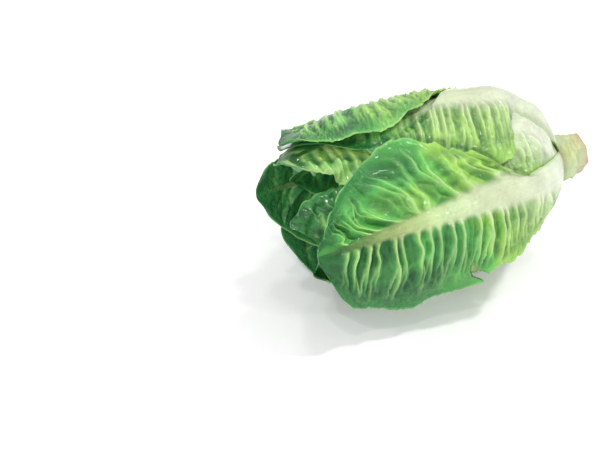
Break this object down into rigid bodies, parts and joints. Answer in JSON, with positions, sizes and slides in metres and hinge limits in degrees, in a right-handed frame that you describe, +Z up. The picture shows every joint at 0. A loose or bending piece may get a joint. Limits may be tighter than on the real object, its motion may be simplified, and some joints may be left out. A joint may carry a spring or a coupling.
{
  "type": "lettuce heart",
  "caption": "Trimmed lettuce heart lying on its side: a cut stump and ribbed green leaves wrapped round it in layers, loose and open at the tips.",
  "frame": {"origin": "centre of the bounding box's bottom, on the surface that the heart lies on", "axes": "+X along the heart towards the cut stump, +Z up, -Y towards the front leaf with its midrib"},
  "size_m": [0.17, 0.1086, 0.0953],
  "materials": {
    "stump": "satin, moist cut stem",
    "leaf_upper_back": "glossy wet leaf",
    "leaf_front": "glossy wet leaf",
    "leaf_under": "glossy wet leaf",
    "leaf_top": "glossy wet leaf",
    "leaf_upper_front": "glossy wet leaf",
    "leaf_rear": "glossy wet leaf",
    "leaf_lower_front": "glossy wet leaf",
    "leaf_inner_1": "glossy wet leaf",
    "leaf_inner_2": "glossy wet leaf",
    "leaf_inner_3": "glossy wet leaf",
    "leaf_inner_4": "glossy wet leaf",
    "leaf_inner_5": "glossy wet leaf",
    "leaf_inner_6": "glossy wet leaf"
  },
  "bodies": {
    "root": {"stump": "stump", "leaf_upper_back": "leaf_upper_back", "leaf_front": "leaf_front", "leaf_under": "leaf_under", "leaf_top": "leaf_top", "leaf_upper_front": "leaf_upper_front", "leaf_rear": "leaf_rear", "leaf_lower_front": "leaf_lower_front", "leaf_inner_1": "leaf_inner_1", "leaf_inner_2": "leaf_inner_2", "leaf_inner_3": "leaf_inner_3", "leaf_inner_4": "leaf_inner_4", "leaf_inner_5": "leaf_inner_5", "leaf_inner_6": "leaf_inner_6"}
  },
  "joints": []
}
